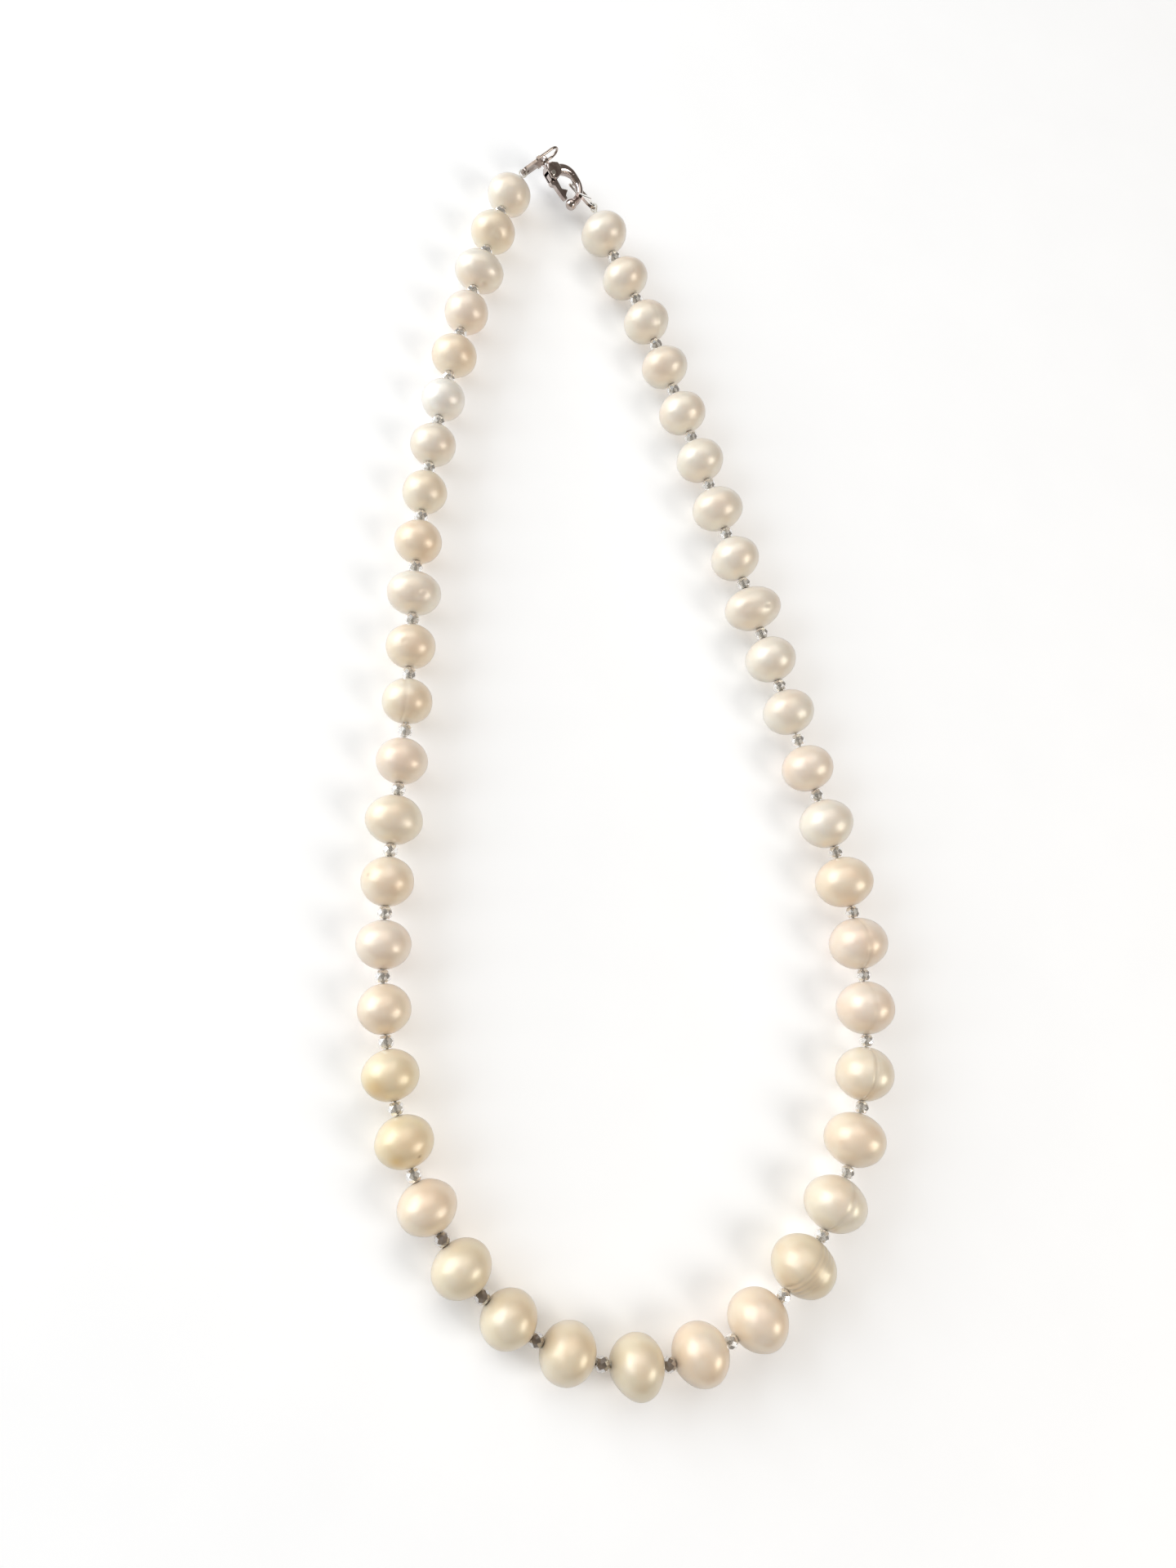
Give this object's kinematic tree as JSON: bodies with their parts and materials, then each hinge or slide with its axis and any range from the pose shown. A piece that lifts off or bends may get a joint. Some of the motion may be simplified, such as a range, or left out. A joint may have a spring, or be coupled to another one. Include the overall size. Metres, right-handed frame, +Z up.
{
  "type": "pearl necklace",
  "caption": "Single strand of potato-shaped freshwater pearls with small faceted spacer beads, closed by a lobster clasp.",
  "frame": {"origin": "Centre of the closed necklace's footprint, on the surface it lies on.", "axes": "+Z up from the surface; +Y from the front pearls towards the clasp; +X to the right seen from above with the clasp furthest away."},
  "size_m": [0.086, 0.2054, 0.0101],
  "materials": {
    "nacre": "lustrous cream nacre",
    "crystal": "clear faceted glass, some of it smoky",
    "thread": "off-white twisted beading thread",
    "silver": "polished silver-coloured metal",
    "spring_steel": "drawn wire"
  },
  "bodies": {
    "left_back": {"thread_left_back": "thread", "spacer_beads_left_back": "crystal"},
    "left_front": {"thread_left_front": "thread", "spacer_beads_left_front": "crystal"},
    "right_front": {"thread_right_front": "thread", "spacer_beads_right_front": "crystal"},
    "right_back": {"thread_right_back": "thread", "spacer_beads_right_back": "crystal"},
    "left_tag": {"left_tag": "silver"},
    "right_tag": {"right_tag": "silver"},
    "clasp_body": {"clasp_body": "silver", "lever_rivet": "silver", "lever_spring": "spring_steel"},
    "clasp_lever": {"clasp_lever": "silver"},
    "pearl_01": {"pearl_01": "nacre"},
    "pearl_02": {"pearl_02": "nacre"},
    "pearl_03": {"pearl_03": "nacre"},
    "pearl_04": {"pearl_04": "nacre"},
    "pearl_05": {"pearl_05": "nacre"},
    "pearl_06": {"pearl_06": "nacre"},
    "pearl_07": {"pearl_07": "nacre"},
    "pearl_08": {"pearl_08": "nacre"},
    "pearl_09": {"pearl_09": "nacre"},
    "pearl_10": {"pearl_10": "nacre"},
    "pearl_11": {"pearl_11": "nacre"},
    "pearl_12": {"pearl_12": "nacre"},
    "pearl_13": {"pearl_13": "nacre"},
    "pearl_14": {"pearl_14": "nacre"},
    "pearl_15": {"pearl_15": "nacre"},
    "pearl_16": {"pearl_16": "nacre"},
    "pearl_17": {"pearl_17": "nacre"},
    "pearl_18": {"pearl_18": "nacre"},
    "pearl_19": {"pearl_19": "nacre"},
    "pearl_20": {"pearl_20": "nacre"},
    "pearl_21": {"pearl_21": "nacre"},
    "pearl_22": {"pearl_22": "nacre"},
    "pearl_23": {"pearl_23": "nacre"},
    "pearl_24": {"pearl_24": "nacre"},
    "pearl_25": {"pearl_25": "nacre"},
    "pearl_26": {"pearl_26": "nacre"},
    "pearl_27": {"pearl_27": "nacre"},
    "pearl_28": {"pearl_28": "nacre"},
    "pearl_29": {"pearl_29": "nacre"},
    "pearl_30": {"pearl_30": "nacre"},
    "pearl_31": {"pearl_31": "nacre"},
    "pearl_32": {"pearl_32": "nacre"},
    "pearl_33": {"pearl_33": "nacre"},
    "pearl_34": {"pearl_34": "nacre"},
    "pearl_35": {"pearl_35": "nacre"},
    "pearl_36": {"pearl_36": "nacre"},
    "pearl_37": {"pearl_37": "nacre"},
    "pearl_38": {"pearl_38": "nacre"},
    "pearl_39": {"pearl_39": "nacre"},
    "pearl_40": {"pearl_40": "nacre"},
    "pearl_41": {"pearl_41": "nacre"},
    "pearl_42": {"pearl_42": "nacre"},
    "pearl_43": {"pearl_43": "nacre"},
    "pearl_44": {"pearl_44": "nacre"},
    "pearl_45": {"pearl_45": "nacre"},
    "pearl_46": {"pearl_46": "nacre"}
  },
  "joints": [
    {"name": "flex_left", "type": "hinge", "parent": "left_front", "child": "left_back", "pos_m": [-0.03531, -0.00598, 0.00386], "axis": [0, 0, 1], "range_deg": [0, 45]},
    {"name": "flex_front", "type": "hinge", "parent": "left_front", "child": "right_front", "pos_m": [-0.0094, -0.09713, 0.00468], "axis": [0, 0, -1], "range_deg": [0, 45]},
    {"name": "flex_right", "type": "hinge", "parent": "right_front", "child": "right_back", "pos_m": [0.03109, -0.00488, 0.00432], "axis": [0, 0, -1], "range_deg": [0, 45]},
    {"name": "lever_swing", "type": "hinge", "parent": "clasp_body", "child": "clasp_lever", "pos_m": [-0.0072, 0.0992, 0.00368], "axis": [0.1246, -0.1578, 0.9796], "range_deg": [0, 20], "stiffness_Nm_per_rad": 0.0001, "springref_deg": -20.05, "deforming": ["lever_spring"]},
    {"name": "clasp_roll", "type": "hinge", "parent": "left_back", "child": "clasp_body", "pos_m": [-0.00842, 0.10148, 0.0042], "axis": [0.8663, -0.464, -0.185], "range_deg": [0, 25]},
    {"name": "left_tag_roll", "type": "hinge", "parent": "left_back", "child": "left_tag", "pos_m": [-0.01247, 0.09854, 0.00371], "axis": [0.8055, 0.5846, 0.097], "range_deg": [-25, 25]},
    {"name": "right_tag_roll", "type": "hinge", "parent": "right_back", "child": "right_tag", "pos_m": [0.00024, 0.09328, 0.00468], "axis": [-0.3544, 0.8615, -0.3635], "range_deg": [-5, 12]},
    {"name": "pearl_01_spin", "type": "hinge", "parent": "left_back", "child": "pearl_01", "pos_m": [-0.01517, 0.0935, 0.00367], "axis": [-0.4128, -0.9103, 0.0306], "continuous": true},
    {"name": "pearl_02_spin", "type": "hinge", "parent": "left_back", "child": "pearl_02", "pos_m": [-0.01841, 0.08512, 0.00382], "axis": [-0.3169, -0.9485, 0.0038], "continuous": true},
    {"name": "pearl_03_spin", "type": "hinge", "parent": "left_back", "child": "pearl_03", "pos_m": [-0.02113, 0.07673, 0.00383], "axis": [-0.2963, -0.9551, -0.0004], "continuous": true},
    {"name": "pearl_04_spin", "type": "hinge", "parent": "left_back", "child": "pearl_04", "pos_m": [-0.02362, 0.06827, 0.00381], "axis": [-0.2703, -0.9628, -0.0053], "continuous": true},
    {"name": "pearl_05_spin", "type": "hinge", "parent": "left_back", "child": "pearl_05", "pos_m": [-0.02593, 0.05971, 0.00376], "axis": [-0.25, -0.9682, -0.0046], "continuous": true},
    {"name": "pearl_06_spin", "type": "hinge", "parent": "left_back", "child": "pearl_06", "pos_m": [-0.02801, 0.05125, 0.00373], "axis": [-0.2285, -0.9735, -0.003], "continuous": true},
    {"name": "pearl_07_spin", "type": "hinge", "parent": "left_back", "child": "pearl_07", "pos_m": [-0.02987, 0.04276, 0.00371], "axis": [-0.1964, -0.9805, 0], "continuous": true},
    {"name": "pearl_08_spin", "type": "hinge", "parent": "left_back", "child": "pearl_08", "pos_m": [-0.03144, 0.03412, 0.00373], "axis": [-0.1624, -0.9867, 0.0029], "continuous": true},
    {"name": "pearl_09_spin", "type": "hinge", "parent": "left_back", "child": "pearl_09", "pos_m": [-0.03268, 0.02539, 0.00376], "axis": [-0.117, -0.9931, 0.0045], "continuous": true},
    {"name": "pearl_10_spin", "type": "hinge", "parent": "left_back", "child": "pearl_10", "pos_m": [-0.03352, 0.01656, 0.0038], "axis": [-0.0774, -0.997, 0.0055], "continuous": true},
    {"name": "pearl_11_spin", "type": "hinge", "parent": "left_back", "child": "pearl_11", "pos_m": [-0.0342, 0.00767, 0.00384], "axis": [-0.0757, -0.9971, 0.0024], "continuous": true},
    {"name": "pearl_12_spin", "type": "hinge", "parent": "left_back", "child": "pearl_12", "pos_m": [-0.03489, -0.00126, 0.00385], "axis": [-0.0822, -0.9966, 0.0008], "continuous": true},
    {"name": "pearl_13_spin", "type": "hinge", "parent": "left_front", "child": "pearl_13", "pos_m": [-0.03588, -0.01072, 0.00388], "axis": [-0.1284, -0.9917, 0.0057], "continuous": true},
    {"name": "pearl_14_spin", "type": "hinge", "parent": "left_front", "child": "pearl_14", "pos_m": [-0.03719, -0.0198, 0.00395], "axis": [-0.1438, -0.9896, 0.0074], "continuous": true},
    {"name": "pearl_15_spin", "type": "hinge", "parent": "left_front", "child": "pearl_15", "pos_m": [-0.03832, -0.02906, 0.00399], "axis": [-0.0969, -0.9953, 0.0023], "continuous": true},
    {"name": "pearl_16_spin", "type": "hinge", "parent": "left_front", "child": "pearl_16", "pos_m": [-0.03901, -0.03825, 0.004], "axis": [-0.0468, -0.9989, 0.0013], "continuous": true},
    {"name": "pearl_17_spin", "type": "hinge", "parent": "left_front", "child": "pearl_17", "pos_m": [-0.03904, -0.04741, 0.00403], "axis": [0.0399, -0.9992, 0.0052], "continuous": true},
    {"name": "pearl_18_spin", "type": "hinge", "parent": "left_front", "child": "pearl_18", "pos_m": [-0.03827, -0.05659, 0.00409], "axis": [0.1343, -0.9909, 0.0074], "continuous": true},
    {"name": "pearl_19_spin", "type": "hinge", "parent": "left_front", "child": "pearl_19", "pos_m": [-0.03647, -0.06572, 0.00417], "axis": [0.2457, -0.9693, 0.0091], "continuous": true},
    {"name": "pearl_20_spin", "type": "hinge", "parent": "left_front", "child": "pearl_20", "pos_m": [-0.0335, -0.07463, 0.00426], "axis": [0.4005, -0.9163, 0.0097], "continuous": true},
    {"name": "pearl_21_spin", "type": "hinge", "parent": "left_front", "child": "pearl_21", "pos_m": [-0.02891, -0.08294, 0.00435], "axis": [0.5627, -0.8266, 0.0106], "continuous": true},
    {"name": "pearl_22_spin", "type": "hinge", "parent": "left_front", "child": "pearl_22", "pos_m": [-0.02248, -0.09007, 0.00447], "axis": [0.7629, -0.6464, 0.0134], "continuous": true},
    {"name": "pearl_23_spin", "type": "hinge", "parent": "left_front", "child": "pearl_23", "pos_m": [-0.01427, -0.09531, 0.0046], "axis": [0.9137, -0.4062, 0.014], "continuous": true},
    {"name": "pearl_24_spin", "type": "hinge", "parent": "right_front", "child": "pearl_24", "pos_m": [-0.00434, -0.098, 0.00475], "axis": [0.9926, -0.1204, 0.0137], "continuous": true},
    {"name": "pearl_25_spin", "type": "hinge", "parent": "right_front", "child": "pearl_25", "pos_m": [0.00541, -0.09754, 0.00488], "axis": [0.9791, 0.2031, 0.0135], "continuous": true},
    {"name": "pearl_26_spin", "type": "hinge", "parent": "right_front", "child": "pearl_26", "pos_m": [0.01483, -0.09395, 0.00499], "axis": [0.8594, 0.5113, 0.0073], "continuous": true},
    {"name": "pearl_27_spin", "type": "hinge", "parent": "right_front", "child": "pearl_27", "pos_m": [0.02296, -0.08732, 0.00503], "axis": [0.6944, 0.7196, -0.0004], "continuous": true},
    {"name": "pearl_28_spin", "type": "hinge", "parent": "right_front", "child": "pearl_28", "pos_m": [0.02932, -0.07898, 0.00498], "axis": [0.521, 0.8535, -0.0087], "continuous": true},
    {"name": "pearl_29_spin", "type": "hinge", "parent": "right_front", "child": "pearl_29", "pos_m": [0.03392, -0.06981, 0.00488], "axis": [0.364, 0.9313, -0.0095], "continuous": true},
    {"name": "pearl_30_spin", "type": "hinge", "parent": "right_front", "child": "pearl_30", "pos_m": [0.03687, -0.05994, 0.00479], "axis": [0.216, 0.9764, -0.0063], "continuous": true},
    {"name": "pearl_31_spin", "type": "hinge", "parent": "right_front", "child": "pearl_31", "pos_m": [0.0383, -0.04962, 0.00477], "axis": [0.0628, 0.998, 0.0017], "continuous": true},
    {"name": "pearl_32_spin", "type": "hinge", "parent": "right_front", "child": "pearl_32", "pos_m": [0.03828, -0.03927, 0.00475], "axis": [-0.0726, 0.9973, -0.0077], "continuous": true},
    {"name": "pearl_33_spin", "type": "hinge", "parent": "right_front", "child": "pearl_33", "pos_m": [0.03692, -0.02909, 0.00462], "axis": [-0.1778, 0.9839, -0.0154], "continuous": true},
    {"name": "pearl_34_spin", "type": "hinge", "parent": "right_front", "child": "pearl_34", "pos_m": [0.03481, -0.01922, 0.00447], "axis": [-0.2399, 0.9707, -0.0152], "continuous": true},
    {"name": "pearl_35_spin", "type": "hinge", "parent": "right_front", "child": "pearl_35", "pos_m": [0.03236, -0.00977, 0.00435], "axis": [-0.2527, 0.9675, -0.0078], "continuous": true},
    {"name": "pearl_36_spin", "type": "hinge", "parent": "right_back", "child": "pearl_36", "pos_m": [0.02982, 0.00001, 0.00433], "axis": [-0.2519, 0.9677, 0.0022], "continuous": true},
    {"name": "pearl_37_spin", "type": "hinge", "parent": "right_back", "child": "pearl_37", "pos_m": [0.02737, 0.00925, 0.00434], "axis": [-0.2624, 0.9649, -0.0006], "continuous": true},
    {"name": "pearl_38_spin", "type": "hinge", "parent": "right_back", "child": "pearl_38", "pos_m": [0.02484, 0.01835, 0.00432], "axis": [-0.2687, 0.9632, -0.0037], "continuous": true},
    {"name": "pearl_39_spin", "type": "hinge", "parent": "right_back", "child": "pearl_39", "pos_m": [0.02235, 0.0274, 0.00427], "axis": [-0.2622, 0.965, -0.0072], "continuous": true},
    {"name": "pearl_40_spin", "type": "hinge", "parent": "right_back", "child": "pearl_40", "pos_m": [0.01988, 0.03651, 0.00419], "axis": [-0.2652, 0.9642, -0.0075], "continuous": true},
    {"name": "pearl_41_spin", "type": "hinge", "parent": "right_back", "child": "pearl_41", "pos_m": [0.01732, 0.0455, 0.00414], "axis": [-0.2816, 0.9595, -0.0039], "continuous": true},
    {"name": "pearl_42_spin", "type": "hinge", "parent": "right_back", "child": "pearl_42", "pos_m": [0.01466, 0.05441, 0.00411], "axis": [-0.2894, 0.9572, -0.003], "continuous": true},
    {"name": "pearl_43_spin", "type": "hinge", "parent": "right_back", "child": "pearl_43", "pos_m": [0.01199, 0.06316, 0.00408], "axis": [-0.2957, 0.9553, -0.003], "continuous": true},
    {"name": "pearl_44_spin", "type": "hinge", "parent": "right_back", "child": "pearl_44", "pos_m": [0.0091, 0.07181, 0.00405], "axis": [-0.3476, 0.9376, -0.0044], "continuous": true},
    {"name": "pearl_45_spin", "type": "hinge", "parent": "right_back", "child": "pearl_45", "pos_m": [0.00566, 0.08016, 0.004], "axis": [-0.4086, 0.9127, -0.006], "continuous": true},
    {"name": "pearl_46_spin", "type": "hinge", "parent": "right_back", "child": "pearl_46", "pos_m": [0.00205, 0.08847, 0.00424], "axis": [-0.3622, 0.9262, 0.1048], "continuous": true}
  ]
}
